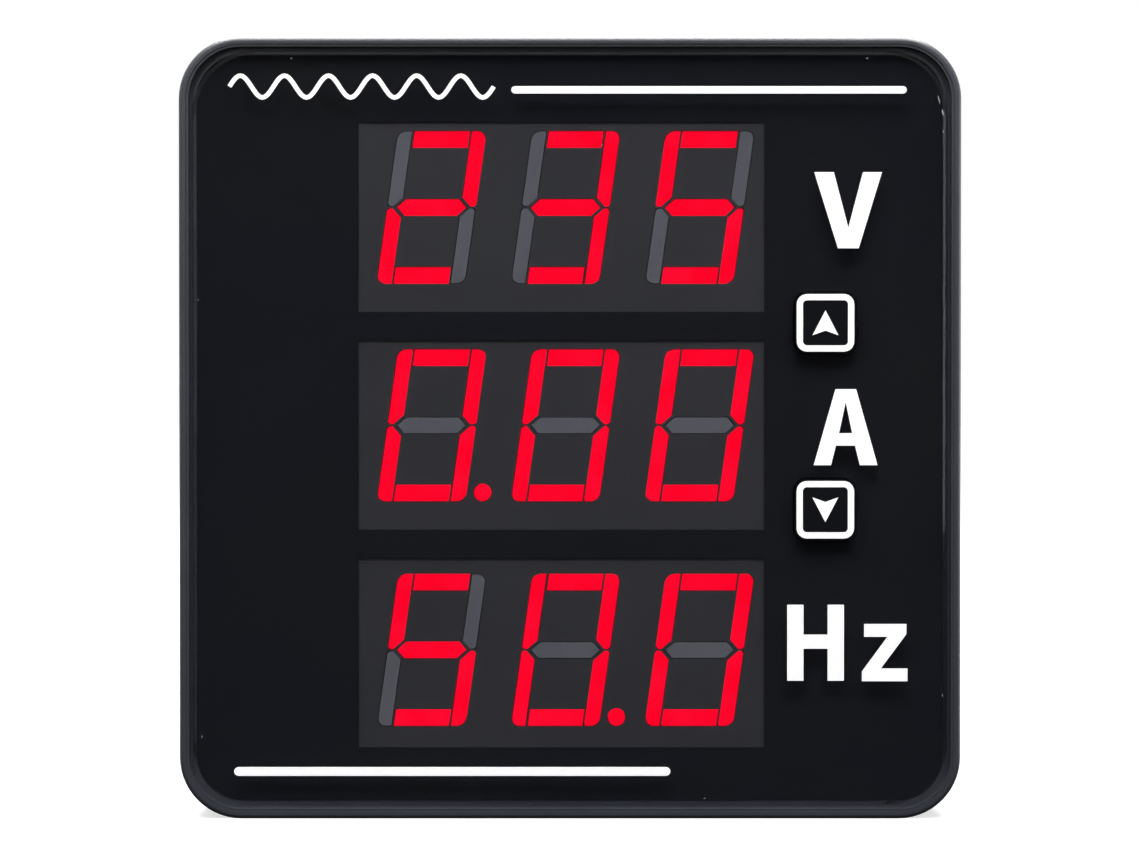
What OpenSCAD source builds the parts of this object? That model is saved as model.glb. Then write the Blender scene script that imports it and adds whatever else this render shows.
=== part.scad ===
/* [Face] */
// Width and height of the square bezel
face_w = 72; // [66:0.5:96]
// Radius of the bezel's corners
face_r = 5.7; // [5:0.1:8]
// Depth of the bezel in front of the panel
bezel_t = 8; // [7:0.1:12]
// Width of the ring round the lens
ring_w = 0.9; // [0.8:0.05:2]
// Rounding of the ring's outer edge
edge_r = 0.35; // [0.2:0.05:0.6]
// Width of the low rim along the ring's inner edge
rim_w = 0.25; // [0.1:0.05:0.4]
// Drop from the ring to that rim
rim_down = 0.12; // [0.05:0.01:0.3]
// Groove between the ring and the lens
lens_gap = 0.3; // [0.1:0.05:0.5]
// Corner radius of the lens
lens_r = 5.7; // [4.5:0.1:8]
// Thickness of the lens
lens_t = 1.2; // [0.8:0.1:2]
// Width of the bevel round the lens
bevel_w = 0.5; // [0.2:0.05:0.8]
// Depth of that bevel
bevel_t = 0.35; // [0.1:0.05:0.6]
// Width of the ledge that the lens rests on
ledge_w = 0.6; // [0.5:0.05:1]
// Thickness of the black mask film behind the lens
mask_t = 0.2; // [0.1:0.05:0.5]
// Thickness of the plate behind the mask
plate_t = 1.6; // [1.2:0.1:2.4]

/* [Displays] */
// Room between a digit and the upper and lower edge of its display
digit_margin = 2.5; // [2:0.1:3.5]
// Width of a digit, measured square to its slant
digit_w = 8.1; // [7:0.1:9]
// Slant of the digits in degrees
slant = 8; // [0:0.5:10]
// Stroke of the upright segments
upright_w = 1.29; // [1:0.01:1.6]
// Stroke of the level segments
level_w = 1.45; // [1:0.01:1.7]
// Gap between segments
segment_gap = 0.25; // [0.2:0.05:0.4]
// Dark line left round each segment
pipe_gap = 0.07; // [0.03:0.01:0.09]
// Rounding of the digits' outer corners
corner_r = 0.75; // [0.3:0.05:1]
// Diameter of a decimal point
point_d = 1.55; // [1:0.05:1.7]
// Distance between digits
digit_pitch = 12.4; // [11.9:0.05:12.5]
// Width of a three-digit display
display_w = 37.6; // [37:0.1:39]
// Room between the displays and the housing's inner walls, above and below
display_margin = 2.15; // [1.8:0.05:4]
// Depth of a display
display_t = 8; // [6:0.1:9]
// Gap between the display rows
row_gap = 1.15; // [0.5:0.05:2]
// Width of a window in the mask
window_w = 37.5; // [36:0.1:37.6]
// Overlap of the mask on a display, above and below its window
window_lap = 0.75; // [0.3:0.05:1.2]
// Middle of the displays, left of the bezel's middle
displays_left = 0.8; // [0:0.1:4]
// Middle of the displays, below the bezel's middle
displays_down = 0.65; // [0:0.05:1]
// Height of the digits above the middle of their window
digits_up = 0.9; // [0:0.05:1]
// How much lower the bottom row's digits stand
bottom_digits_down = 0.65; // [0:0.05:1]
// Shift of the digits to the right of their window's middle
digits_right = 0.4; // [0:0.05:0.6]
// Reading of the top row, without its decimal point
top_reading = 235; // [0:1:799]
// Reading of the middle row
middle_reading = 0; // [0:1:799]
// Reading of the bottom row
bottom_reading = 500; // [0:1:799]
// Decimal places in the top row
top_places = 0; // [0, 1, 2]
// Decimal places in the middle row
middle_places = 2; // [0, 1, 2]
// Decimal places in the bottom row
bottom_places = 1; // [0, 1, 2]

/* [Keys] */
// Width of a key cap
key_w = 5.6; // [4.5:0.1:6]
// Corner radius of a key cap
key_r = 1.1; // [0.5:0.1:1.4]
// Gap all round a key cap
key_gap = 0.1; // [0.08:0.01:0.2]
// Middle of the keys, right of the displays
keys_off = 5.5; // [4.6:0.1:7]
// Height of the upper key
up_key_y = 9.7; // [8:0.1:12]
// Height of the lower key, below the bezel's middle
down_key_y = 7.5; // [6:0.1:12]
// Travel of a key
key_travel = 0.3; // [0.2:0.05:0.4]
// Width of the switch under a key
switch_w = 6; // [5:0.1:6.4]
// Height of the switch's case
switch_t = 3.4; // [3:0.1:4]
// Diameter of the switch's plunger
plunger_d = 3.4; // [2.5:0.1:3.6]

/* [Housing] */
// Overhang of the bezel beyond the housing on each side
overhang = 2.5; // [2.2:0.1:5]
// Corner radius of the housing
body_r = 3; // [2:0.1:4]
// Wall of the housing
body_wall = 1.7; // [1.4:0.1:2.2]
// Depth of the housing behind the panel
body_d = 70; // [62:0.5:100]
// Overlap of the housing inside the bezel
spigot = 1.5; // [1:0.1:2]
// Number of vent slots in each row
vent_count = 9; // [5:1:10]
// Width of a vent slot
vent_w = 2; // [1.5:0.1:2.5]
// Length of a vent slot
vent_l = 22; // [12:0.5:24]
// Width of a snap arm
snap_w = 9; // [6:0.5:12]
// Middle of the snap arms, from the middle of the case
snap_x = 20; // [16:0.5:22]
// Thickness of the rear cover
cover_t = 2.4; // [2:0.1:3]
// Diameter of the rear cover's screws
cover_screw_d = 2.6; // [2:0.1:3]

/* [Panel clips] */
// Width of the channel in each side of the housing
channel_w = 26; // [20:0.5:30]
// Depth of that channel
channel_t = 1.5; // [1.3:0.1:1.8]
// Lip that holds the clip in the channel
lip = 1.5; // [1:0.1:2]
// Length of a clip
clip_l = 30; // [24:0.5:36]
// Distance of a clip from the panel face
clip_back = 10; // [8:0.5:14]
// Height of a clip above the housing's side
clip_out = 2.1; // [1.5:0.1:2.3]
// Pitch of the ratchet teeth
tooth_pitch = 1.5; // [1.2:0.1:2.5]
// Depth of a ratchet tooth
tooth_t = 0.35; // [0.2:0.05:0.4]

/* [Terminals] */
// Number of terminals
ways = 6; // [4:1:6]
// Gap between the terminal block and the housing's inner walls
block_side = 2.2; // [1:0.1:5]
// Thickness of a barrier between terminals
barrier = 1.6; // [1.2:0.1:2]
// Height of the terminal block
block_h = 16; // [15:0.1:18]
// Bottom of the terminal block above the housing's underside
block_up = 9.5; // [9.5:0.1:12]
// Length of the barriers behind the block's base
barrier_l = 9.5; // [8:0.1:12]
// Thickness of the block's base
base_t = 4.5; // [4:0.1:6]
// Diameter of a terminal screw
screw_d = 3; // [2.5:0.1:3.2]
// Diameter of a terminal screw's head
screw_head_d = 5.6; // [5:0.1:6]
// Gap between a clamp washer and the barriers
clamp_gap = 0.6; // [0.3:0.1:1]
// Thickness of a clamp washer
clamp_t = 1; // [0.8:0.1:1.2]

/* [Boards] */
// Thickness of the circuit boards
board_t = 1.6; // [1:0.1:2]
// Gap between the display board and the housing's inner walls
display_board_gap = 0.8; // [0.3:0.1:3]
// Gap between the main board and the housing's inner walls
main_board_gap = 1.8; // [0.3:0.1:2.5]
// Height of the main board above the inside of the housing
main_board_up = 3.2; // [2.8:0.1:3.6]
// Width of the transformer's core
core_w = 30; // [26:0.5:32]
// Height of the transformer's core
core_h = 26; // [22:0.5:30]
// Stack of the transformer's core
core_t = 14; // [10:0.5:16]
// Diameter of the larger filter capacitor
cap_d = 10; // [8:0.5:12]
// Height of the larger filter capacitor
cap_h = 17; // [12:0.5:20]

/* [Hidden] */
$fn = 48;

// Everything is drawn as seen from the front: x to the right, y up and z towards the viewer.
// The plane z = 0 is the panel's face, and standing() turns the drawing upright.
module standing() {
    rotate([90, 0, 0]) children();
}

// One named clearance for pieces that lie close to each other and are carried elsewhere
clear = 0.1;
// Small overlap that lets a cut run past a face
cut = 1;

// Levels behind and in front of the panel's face
pocket_z = bezel_t - lens_t - mask_t;
ledge_z = pocket_z + mask_t;
plate_z = pocket_z - plate_t;
board_z = pocket_z - display_t;
board_back_z = board_z - board_t;
cover_z = -body_d;
block_z = cover_z - base_t;

// Lens, window and housing sizes
lens_w = face_w - 2 * (ring_w + lens_gap);
pocket_w = face_w - 2 * ring_w;
pocket_r = face_r - ring_w;
body_w = face_w - 2 * overhang;
body_in = body_w - 2 * body_wall;
socket_w = body_w + 0.3;
bezel_in = body_in + 0.4;
display_board_w = body_in - 2 * display_board_gap;
main_board_w = body_in - 2 * main_board_gap;

// Box centred in x and y between two levels
module slab(w, h, z0, z1) {
    translate([-w / 2, -h / 2, z0]) cube([w, h, z1 - z0]);
}

// Outline of a rectangle with round corners
module rounded(w, h, r) {
    square([w - 2 * r, h], center = true);
    square([w, h - 2 * r], center = true);
    for (x = [-1, 1], y = [-1, 1])
        translate([x * (w / 2 - r), y * (h / 2 - r)]) circle(r);
}

// Plate with round corners between two levels
module rounded_slab(w, h, r, z0, z1) {
    translate([0, 0, z0]) linear_extrude(z1 - z0) rounded(w, h, r);
}

// Sweeps an edge profile round a square of width w with corner radius r. The profile's x is
// the distance from the corner's centre, and its y is the level.
module swept_edge(w, r) {
    side = w - 2 * r;
    for (a = [0 : 90 : 270]) rotate(a) {
        translate([side / 2, side / 2, 0]) rotate_extrude(angle = 90) children();
        translate([side / 2, side / 2, 0]) rotate([90, 0, 0]) linear_extrude(side) children();
    }
}

// Points of a quarter round about a centre, from angle a to angle b
function arc(x, y, r, a, b, n = 6) =
    [for (i = [0 : n]) [x + r * cos(a + (b - a) * i / n), y + r * sin(a + (b - a) * i / n)]];

// --- Rows of digits -------------------------------------------------------------------------

rows = [1, 0, -1];
display_h = (body_in - 2 * display_margin - 2 * row_gap) / 3;
row_pitch = display_h + row_gap;
window_h = display_h - 2 * window_lap;
digit_h = display_h - 2 * digit_margin;
display_x = -displays_left;
keys_right = display_x + display_w / 2 + keys_off;
function row_y(row) = row * row_pitch - displays_down;
readings = [top_reading, middle_reading, bottom_reading];
places = [top_places, middle_places, bottom_places];

// Segments a to g that each numeral lights
LIT = [
    "abcdef", "bc", "abdeg", "abcdg", "bcfg",
    "acdfg", "acdefg", "abc", "abcdefg", "abcdfg",
];
function numeral(reading, place) = floor(reading / pow(10, 2 - place)) % 10;
function is_lit(reading, place, name) = len(search(name, LIT[numeral(reading, place)])) > 0;

half_w = digit_w / 2;
half_h = digit_h / 2;

// Outlines of the segments of an upright digit centred on the origin, grown by g all round
function level_bar(y, g) =
    let (end = half_w - upright_w - segment_gap + g, t = level_w / 2 + g)
    [[-end, y - t], [end, y - t], [end, y + t], [-end, y + t]];
function middle_bar(g) =
    let (tip = half_w - upright_w / 2 - segment_gap + sqrt(2) * g, t = level_w / 2 + g)
    [[-tip, 0], [t - tip, -t], [tip - t, -t], [tip, 0], [tip - t, t], [t - tip, t]];
function upright_bar(side, end, g) =
    let (inner = half_w - upright_w - g, low = segment_gap / 2 - g, nose = 0.4 * upright_w)
    [for (p = concat(
        [[inner, half_h + g]],
        arc(half_w - corner_r, half_h - corner_r, corner_r + g, 90, 0),
        [[half_w + g, low + 0.2], [half_w + g - 0.2, low]],
        [[half_w + g - nose, low], [inner, low + upright_w + 2 * g - nose]]
    )) [side * p[0], end * p[1]]];
function segment(name, g) =
    name == "a" ? level_bar(half_h - level_w / 2, g) :
    name == "d" ? level_bar(level_w / 2 - half_h, g) :
    name == "g" ? middle_bar(g) :
    name == "b" ? upright_bar(1, 1, g) :
    name == "c" ? upright_bar(1, -1, g) :
    name == "e" ? upright_bar(-1, -1, g) :
    upright_bar(-1, 1, g);
function slanted(points) = [for (p = points) [p[0] + p[1] * tan(slant), p[1]]];

// Digits of one row in their window
function lift(row) = digits_up - (row == 2 ? bottom_digits_down : 0);
module digit_place(row, place) {
    translate([digits_right + (place - 1) * digit_pitch, lift(row), board_z]) children();
}

// Light pipes of one row: those that are lit, or those that are dark, grown by g all round
module segments(row, lit, g) {
    reading = readings[row];
    for (place = [0 : 2], name = ["a", "b", "c", "d", "e", "f", "g"])
        if (is_lit(reading, place, name) == lit)
            digit_place(row, place) linear_extrude(display_t) polygon(slanted(segment(name, g)));
}

// Where the row's decimal point is, if it has one
point_y = -half_h + point_d / 2;
point_x = half_w + segment_gap + point_d / 2 + 0.5 + point_y * tan(slant);
module decimal_point(row, d) {
    if (places[row] > 0)
        digit_place(row, 2 - places[row]) translate([point_x, point_y, 0])
            cylinder(h = display_t, d = d);
}

module at_row(row) {
    standing() translate([display_x, row_y(rows[row]), 0]) children();
}

module display(row) {
    color("#2f3033") at_row(row) difference() {
        slab(display_w, display_h, board_z, pocket_z);
        segments(row, true, pipe_gap);
        segments(row, false, pipe_gap);
        decimal_point(row, point_d + 2 * pipe_gap);
    }
}

module lit_segments(row) {
    color("#ff1030") at_row(row) {
        segments(row, true, 0);
        decimal_point(row, point_d);
    }
}

module dark_segments(row) {
    color("#4b4c50") at_row(row) segments(row, false, 0);
}

// --- Front ----------------------------------------------------------------------------------

// Air between the mask film and the lens
film_gap = 0.04;

// Middle of each key
key_places = [up_key_y, -down_key_y];
hole_w = key_w + 2 * key_gap;
hole_r = key_r + key_gap;

// Posts on the bezel's plate that carry the display board
post_d = 5;
post_x = display_board_w / 2 - 3;
post_hole_d = 1.8;

// Snap arms of the bezel and the windows they catch in
snap_t = 1.3;
snap_l = 9;
barb_t = 1;
barb_l = 2.4;
snap_y = body_in / 2 - clear;

module display_windows(w, h, z0, z1) {
    for (row = rows) translate([display_x, row_y(row), 0]) slab(w, h, z0, z1);
}

module key_holes(z0, z1) {
    for (y = key_places) translate([keys_right, y, 0]) rounded_slab(hole_w, hole_w, hole_r, z0, z1);
}

module snap_arm() {
    translate([-snap_w / 2, 0, 0]) rotate([90, 0, 90]) linear_extrude(snap_w) polygon([
        [snap_y - snap_t, plate_z + cut / 2],
        [snap_y, plate_z + cut / 2],
        [snap_y, -snap_l + barb_l],
        [snap_y + barb_t, -snap_l + barb_l],
        [snap_y, -snap_l],
        [snap_y - snap_t, -snap_l],
    ]);
}

module front_bezel() {
    recess_w = pocket_w - 2 * ledge_w;
    color("#3d4148") standing() difference() {
        union() {
            swept_edge(face_w, face_r) polygon(concat(
                [[0, 0], [face_r, 0]],
                arc(face_r - edge_r, bezel_t - edge_r, edge_r, 0, 90),
                [[0, bezel_t]]
            ));
            slab(face_w - 2 * face_r, face_w - 2 * face_r, 0, bezel_t);
        }
        rounded_slab(pocket_w + 2 * rim_w, pocket_w + 2 * rim_w, pocket_r + rim_w, bezel_t - rim_down, bezel_t + cut);
        rounded_slab(pocket_w, pocket_w, pocket_r, ledge_z, bezel_t + cut);
        rounded_slab(recess_w, recess_w, pocket_r - ledge_w, pocket_z, bezel_t);
        rounded_slab(socket_w, socket_w, body_r + 0.15, -cut, spigot);
        rounded_slab(bezel_in, bezel_in, body_r - body_wall + 0.2, -cut, plate_z);
        display_windows(display_w + 2 * clear, display_h + 2 * clear, plate_z - cut, pocket_z + cut);
        key_holes(plate_z - cut, pocket_z + cut);
    }
    color("#3d4148") standing() {
        difference() {
            for (x = [-1, 1], y = [-1, 1]) translate([x * post_x, y * post_x, board_z])
                cylinder(h = plate_z - board_z + cut / 2, d = post_d);
            for (x = [-1, 1], y = [-1, 1]) translate([x * post_x, y * post_x, board_z - cut])
                cylinder(h = 6 + cut, d = post_hole_d);
        }
        for (x = [-1, 1], turn = [0, 180]) rotate(turn) translate([x * snap_x, 0, 0]) snap_arm();
    }
}

module front_lens() {
    color("#1c1d22") standing() difference() {
        union() {
            swept_edge(lens_w, lens_r) polygon(concat(
                [[0, ledge_z], [lens_r, ledge_z]],
                [[lens_r, bezel_t - bevel_t], [lens_r - bevel_w, bezel_t], [0, bezel_t]]
            ));
            slab(lens_w - 2 * lens_r, lens_w - 2 * lens_r, ledge_z, bezel_t);
        }
        key_holes(pocket_z, bezel_t + cut);
    }
}

module window_mask() {
    in = ledge_w + clear;
    wide = pocket_w - 2 * in;
    color("#0c0c0d") standing() difference() {
        rounded_slab(wide, wide, pocket_r - in, pocket_z, ledge_z - film_gap);
        display_windows(window_w, window_h, pocket_z - cut, bezel_t);
        key_holes(pocket_z - cut, bezel_t);
    }
}

// --- Keys and their switches ----------------------------------------------------------------

flange_t = 0.8;
flange_w = key_w + 1.6;
flange_z = plate_z - clear;
switch_z = board_z + switch_t;
plunger_z = switch_z + 1.1;
plunger_l = 1.1 + 1.2;

module at_key(y) {
    standing() translate([keys_right, y, 0]) children();
}

module key(y) {
    color("#1b1c20") at_key(y) {
        rounded_slab(key_w, key_w, key_r, flange_z - flange_t / 2, bezel_t);
        rounded_slab(flange_w, flange_w, key_r, flange_z - flange_t, flange_z);
        translate([0, 0, plunger_z]) cylinder(h = flange_z - flange_t / 2 - plunger_z, d = 3);
    }
}

module plunger(y) {
    color("#202124") at_key(y) translate([0, 0, plunger_z - plunger_l])
        cylinder(h = plunger_l, d = plunger_d);
}

module switch(y) {
    color("#b9bcc0") at_key(y) difference() {
        union() {
            rounded_slab(switch_w, switch_w, 0.5, board_z, switch_z);
            for (x = [-1, 1], leg = [-1, 1]) translate([x * 3.25, leg * 2.25, 0])
                slab(0.7, 0.6, board_back_z - 1, board_z + 0.8);
        }
        translate([0, 0, plunger_z - plunger_l - key_travel - clear])
            cylinder(h = switch_t, d = plunger_d + 0.2);
    }
}

// --- Display board --------------------------------------------------------------------------

// Two rows of pins under each display
pin_count = 6;
pin_pitch = 2.54;
pin_rows = 15.24;
pin_d = 0.5;
header_x = -18;
header_pins = 8;

module pin_field(d, z0, z1) {
    for (row = rows, i = [0 : pin_count - 1], side = [-1, 1])
        translate([
            display_x + (i - (pin_count - 1) / 2) * pin_pitch,
            row_y(row) + side * pin_rows / 2,
            z0,
        ]) cylinder(h = z1 - z0, d = d, $fn = 24);
}

module display_pins() {
    color("#c9c9c4") standing() pin_field(pin_d, board_back_z - 1.2, board_z);
}

module display_board() {
    color("#1d5b3a") standing() difference() {
        rounded_slab(display_board_w, display_board_w, 1, board_back_z, board_z);
        pin_field(pin_d + 0.3, board_back_z - cut, board_z + cut);
        for (x = [-1, 1], y = [-1, 1]) translate([x * post_x, y * post_x, board_back_z - cut])
            cylinder(h = board_t + 2 * cut, d = 2.6);
        for (y = key_places, x = [-1, 1], leg = [-1, 1])
            translate([keys_right + x * 3.25, y + leg * 2.25, 0])
                slab(1, 0.9, board_back_z - cut, board_z + cut);
        for (i = [0 : header_pins - 1])
            translate([header_x + i * pin_pitch, header_y, board_back_z - cut])
                cylinder(h = board_t + 2 * cut, d = 1);
        for (x = [-1, 1], y = [-1, 1])
            translate([x * snap_x, y * (snap_y + snap_t), 0])
                slab(snap_w + 0.4, 4 * snap_t + 0.4, board_back_z - cut, board_z + cut);
        for (x = [-1, 1]) translate([x * body_in / 2, 0, 0])
            slab(2 * bump + 0.4, channel_w + 4.4, board_back_z - cut, board_z + cut);
    }
}

module display_board_screws() {
    color("#a9adb2") standing()
        for (x = [-1, 1], y = [-1, 1]) translate([x * post_x, y * post_x, 0]) difference() {
            union() {
                translate([0, 0, board_back_z - 1.4]) cylinder(h = 1.4, d = 4);
                translate([0, 0, board_back_z - 0.1]) cylinder(h = board_t + 5, d = post_hole_d - 0.04);
            }
            for (a = [0, 90]) rotate(a) slab(2.4, 0.6, board_back_z - 1.4 - cut, board_back_z - 0.7);
        }
}

// Height of the chips, just below the top row's middle
chip_y = row_y(1) - 2.5;

// Small-outline chip with gull-wing leads on the back of the display board
module chip(w, h, leads) {
    slab(w, h, board_back_z - 2.2, board_back_z - 0.15);
    for (i = [0 : leads - 1], side = [-1, 1])
        translate([(i - (leads - 1) / 2) * 1.27, side * (h / 2 + 0.6), 0]) {
            slab(0.45, 1.3, board_back_z - 1.2, board_back_z - 1);
            translate([0, side * 0.55, 0]) slab(0.45, 0.2, board_back_z - 1.1, board_back_z);
        }
}

module display_chips() {
    color("#26272a") standing() {
        translate([display_x - 15.2, chip_y, 0]) chip(17.5, 7.5, 13);
        translate([display_x + 12.8, chip_y, 0]) chip(12.5, 7.5, 9);
    }
}

// --- Housing --------------------------------------------------------------------------------

// Side channels with their lips, and the ratchet that the clip's pawl rides over
channel_z = -0.9;
bump = channel_t;
rack_w = 8;
rack_l = 44;
rack_z = -8;
boss_d = 6;
boss_l = 10;
boss_x = body_in / 2 - boss_d / 2 + 0.4;
rail_t = 1.2;
rail_l = 3;
main_board_y = -body_in / 2 + main_board_up;

module vents() {
    pitch = 2.6 * vent_w;
    for (i = [0 : vent_count - 1]) translate([(i - (vent_count - 1) / 2) * pitch, 0, 0])
        rotate([90, 0, 0]) translate([0, -body_d + 18 + vent_l / 2, 0]) linear_extrude(body_w + 2 * cut, center = true)
            rounded(vent_w, vent_l, vent_w / 2 - 0.01);
}

// Right-hand channel: a slot with overhanging lips
module channel() {
    floor_x = body_w / 2 - channel_t;
    deep = body_d + channel_z + cut;
    translate([floor_x, -channel_w / 2, -body_d - cut]) cube([0.9, channel_w, deep]);
    translate([floor_x, -channel_w / 2 + lip, -body_d - cut]) cube([channel_t + cut, channel_w - 2 * lip, deep]);
}

module rack() {
    count = floor(rack_l / tooth_pitch);
    translate([body_w / 2 - channel_t, rack_w / 2, 0]) rotate([90, 0, 0]) linear_extrude(rack_w)
        polygon(concat(
            [[-0.3, rack_z]],
            [for (i = [0 : count - 1], p = [[tooth_t, 0], [0, -tooth_pitch + 0.01]])
                [p[0], rack_z - i * tooth_pitch + p[1]]],
            [[-0.3, rack_z - count * tooth_pitch]]
        ));
}

module housing() {
    color("#24262a") standing() difference() {
        union() {
            difference() {
                rounded_slab(body_w, body_w, body_r, -body_d, spigot);
                rounded_slab(body_in, body_in, body_r - body_wall, -body_d - cut, spigot + cut);
            }
            for (side = [-1, 1]) translate([side * (body_in / 2 - bump / 2 + 0.2), 0, 0])
                slab(bump + 0.4, channel_w + 4, -body_d, channel_z);
            for (x = [-1, 1], y = [-1, 1]) intersection() {
                translate([x * boss_x, y * boss_x, -body_d]) cylinder(h = boss_l, d = boss_d);
                slab(body_w - body_wall, body_w - body_wall, -body_d, 0);
            }
            for (side = [-1, 1], y = [main_board_y - rail_t - 0.05, main_board_y + board_t + 0.05])
                translate([side * (body_in / 2 - rail_l / 2 + 0.2), y + rail_t / 2, 0])
                    slab(rail_l + 0.4, rail_t, cover_z + boss_l, main_front_z + 2);
        }
        for (side = [0, 180]) rotate([0, 0, side]) channel();
        for (x = [-1, 1], y = [-1, 1]) translate([x * boss_x, y * boss_x, -body_d - cut])
            cylinder(h = boss_l + cut - 1, d = cover_screw_d - 0.6);
        vents();
        for (x = [-1, 1], side = [-1, 1]) translate([x * snap_x, side * body_in / 2, 0])
            slab(snap_w + 0.6, 2 * body_wall + 2, -snap_l - 0.4, -snap_l + barb_l + 0.1);
    }
    color("#24262a") standing() {
        rack();
        rotate(180) rack();
    }
}

// --- Panel clips ----------------------------------------------------------------------------

clip_base_t = 0.75;
clip_slack = 0.15;

// Clip on the right side: a base under the lips, a thick pad, and a pawl cut free on three sides
module clip(turn) {
    floor_x = body_w / 2 - channel_t + 0.05;
    out_x = body_w / 2 + clip_out;
    wide = channel_w - 2 * clip_slack;
    neck = channel_w - 2 * lip - 2 * clip_slack;
    color("#2b2d31") standing() rotate(turn) difference() {
        union() {
            translate([floor_x, -wide / 2, -clip_back - clip_l]) cube([clip_base_t, wide, clip_l]);
            translate([floor_x, -neck / 2, -clip_back - clip_l]) cube([out_x - floor_x, neck, clip_l]);
        }
        translate([floor_x - cut, -rack_w / 2 - 0.4, -clip_back - clip_l - cut])
            cube([tooth_t + 0.1 + cut, rack_w + 0.8, clip_l + 2 * cut]);
        for (side = [-1, 1]) translate([floor_x - cut, side * (rack_w / 2 + 0.9) - 0.5, -clip_back - clip_l + 6])
            cube([out_x, 1, clip_l - 12]);
        translate([floor_x - cut, -rack_w / 2 - 1.4, -clip_back - 7]) cube([out_x, rack_w + 2.8, 1]);
        translate([floor_x + 1.8, -rack_w / 2 - 0.4, -clip_back - 16]) cube([out_x, rack_w + 0.8, 9.5]);
        for (i = [0 : 3]) translate([out_x, 0, -clip_back - clip_l + 1.5 + 1.3 * i]) rotate([90, 0, 0])
            cylinder(h = neck + cut, d = 0.7, center = true, $fn = 24);
    }
}

// --- Rear cover and terminals ---------------------------------------------------------------

block_w = body_in - 2 * block_side;
way_pitch = (block_w - barrier) / ways;
clamp_w = way_pitch - barrier - 2 * clamp_gap;
block_y = -body_w / 2 + block_up + block_h / 2;
opening_gap = 0.15;
contact_t = 0.8;
contact_h = 12;
nut_d = 5;
nut_l = 2.2;
clamp_z = block_z - contact_t - clear;
head_t = 2;
screw_l = 6.5;
head_z = clamp_z - clamp_t;
tip_z = head_z + screw_l;
tail_t = 1;
tail_y = -contact_h / 2 + 1;
tail_z = cover_z + boss_l + 4.5;
lip_t = 1.2;
lip_l = 2.5;
flange_out = 1.2;

module rear_cover() {
    color("#26282c") standing() difference() {
        union() {
            rounded_slab(body_w, body_w, body_r, cover_z - cover_t, cover_z);
            difference() {
                slab(body_in - 2 * boss_d, body_in - 2 * clear, cover_z - cut / 2, cover_z + lip_l);
                slab(body_in - 2 * boss_d + 0.02, body_in - 2 * clear - 2 * lip_t, cover_z - cut, cover_z + lip_l + cut);
                translate([0, block_y, 0]) slab(body_w, block_h + 4 * flange_out, cover_z, cover_z + lip_l + cut);
            }
        }
        translate([0, block_y, 0])
            slab(block_w + 2 * opening_gap, block_h + 2 * opening_gap, cover_z - cover_t - cut, cover_z + cut);
        for (x = [-1, 1], y = [-1, 1]) translate([x * boss_x, y * boss_x, cover_z - cover_t - cut]) {
            cylinder(h = cover_t + 2 * cut, d = cover_screw_d + 0.4);
            cylinder(h = cut + 1, d = cover_screw_d * 1.9 + 0.4);
        }
        for (i = [0 : vent_count - 1])
            translate([(i - (vent_count - 1) / 2) * 2.6 * vent_w, 14, cover_z - cover_t - cut])
                linear_extrude(cover_t + 2 * cut) rounded(vent_w, vent_l, vent_w / 2 - 0.01);
    }
}

module rear_cover_screws() {
    seat_z = cover_z - cover_t + 1;
    color("#a9adb2") standing()
        for (x = [-1, 1], y = [-1, 1]) translate([x * boss_x, y * boss_x, 0]) difference() {
            union() {
                translate([0, 0, seat_z - 1]) cylinder(h = 1, d = cover_screw_d * 1.9);
                translate([0, 0, seat_z - 0.1]) cylinder(h = boss_l - 1, d = cover_screw_d - 0.64);
            }
            for (a = [0, 90]) rotate(a) slab(2.8, 0.6, seat_z - 1 - cut, seat_z - 0.4);
        }
}

function way_x(k) = (k - (ways + 1) / 2) * way_pitch;

module terminal_block() {
    color("#1f2023") standing() translate([0, block_y, 0]) difference() {
        union() {
            slab(block_w, block_h, block_z, cover_z + 0.5);
            slab(block_w + 0.6, block_h + 2 * flange_out, cover_z, cover_z + 2);
            for (k = [0 : ways]) translate([(k - ways / 2) * way_pitch, 0, 0])
                slab(barrier, block_h, block_z - barrier_l, block_z + cut);
            translate([0, block_h / 2 - barrier / 2, 0])
                slab(block_w, barrier, block_z - barrier_l, block_z + cut);
        }
        for (k = [1 : ways]) translate([way_x(k), 0, 0]) {
            translate([0, 0, block_z - cut]) cylinder(h = nut_l + cut + 0.1, d = nut_d + 0.1);
            translate([0, 0, block_z]) cylinder(h = tip_z + 0.5 - block_z, d = screw_d + 0.8);
            translate([0, tail_y, 0]) slab(2.2, tail_t + 0.2, block_z - cut, cover_z + 2 + cut);
        }
    }
}

module terminal_contacts() {
    color("#c9a24a") standing() for (k = [1 : ways]) translate([way_x(k), block_y, 0]) difference() {
        union() {
            slab(clamp_w + 0.6, contact_h, block_z - contact_t, block_z);
            translate([0, 0, block_z - 0.1]) cylinder(h = nut_l + 0.1, d = nut_d);
            translate([0, tail_y, 0]) slab(2, tail_t, block_z - 0.4, tail_z);
            translate([-1, board_top - block_y, tail_z - tail_t])
                cube([2, tail_y + tail_t / 2 - board_top + block_y, tail_t]);
        }
        translate([0, 0, block_z - 5]) cylinder(h = 12, d = screw_d + 0.1);
    }
}

module terminal_clamp(k) {
    color("#b7babd") standing() translate([way_x(k), block_y, 0]) difference() {
        slab(clamp_w, clamp_w, clamp_z - clamp_t, clamp_z);
        translate([0, 0, clamp_z - clamp_t - cut]) cylinder(h = clamp_t + 2 * cut, d = screw_d + 0.1);
        for (side = [-1, 1]) translate([0, side * clamp_w / 3, clamp_z]) rotate([0, 90, 0])
            cylinder(h = clamp_w + cut, d = 0.6, center = true, $fn = 24);
    }
}

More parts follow.
